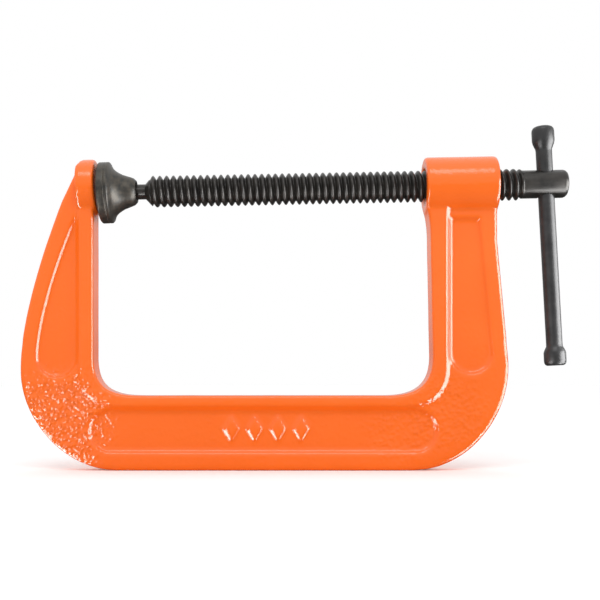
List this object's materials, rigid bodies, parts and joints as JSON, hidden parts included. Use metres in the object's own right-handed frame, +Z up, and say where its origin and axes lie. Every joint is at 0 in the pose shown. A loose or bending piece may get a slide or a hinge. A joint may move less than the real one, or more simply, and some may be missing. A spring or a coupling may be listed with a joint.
{
  "type": "c clamp",
  "caption": "Cast C-shaped clamp frame with a coarse screw through its boss, a swivelling round pad and a sliding tee-bar handle.",
  "frame": {"origin": "centre of the flat underside of the spine, which the clamp stands on", "axes": "+X along the spine from the anvil to the handle, +Y across the frame, +Z up towards the screw"},
  "size_m": [0.2041, 0.0226, 0.1287],
  "materials": {
    "orange_enamel": "glossy orange enamel over a cast surface, with slight orange peel",
    "black_oxide_screw": "oiled black oxide on rolled thread",
    "black_oxide_pad": "mottled black oxide on a forged pad",
    "black_oxide_bar": "black oxide on drawn bar with upset ends",
    "spring_wire": "plain spring wire"
  },
  "bodies": {
    "frame": {"frame_casting": "orange_enamel"},
    "carrier": {"retaining_ring": "spring_wire"},
    "screw": {"screw": "black_oxide_screw"},
    "pad": {"swivel_pad": "black_oxide_pad"},
    "tee_bar": {"tee_bar": "black_oxide_bar"}
  },
  "joints": [
    {"name": "screw_advance", "type": "slide", "parent": "frame", "child": "carrier", "axis": [0.9998, 0, 0.0194], "range_m": [0, 0.1059]},
    {"name": "screw_turn", "type": "hinge", "parent": "carrier", "child": "screw", "pos_m": [0, 0, 0.105], "axis": [0.9998, 0, 0.0194], "range_deg": [0, 15000]},
    {"name": "pad_tilt", "type": "hinge", "parent": "carrier", "child": "pad", "pos_m": [-0.05434, 0, 0.10395], "axis": [0, 1, 0], "range_deg": [-5, 5]},
    {"name": "tee_bar_slide", "type": "slide", "parent": "screw", "child": "tee_bar", "axis": [-0.0546, 0, 0.9985], "range_m": [-0.0075, 0.0555]}
  ],
  "couplings": [
    {"joint": "screw_advance", "follows": "screw_turn", "m_per_rad": 0.00040425}
  ]
}
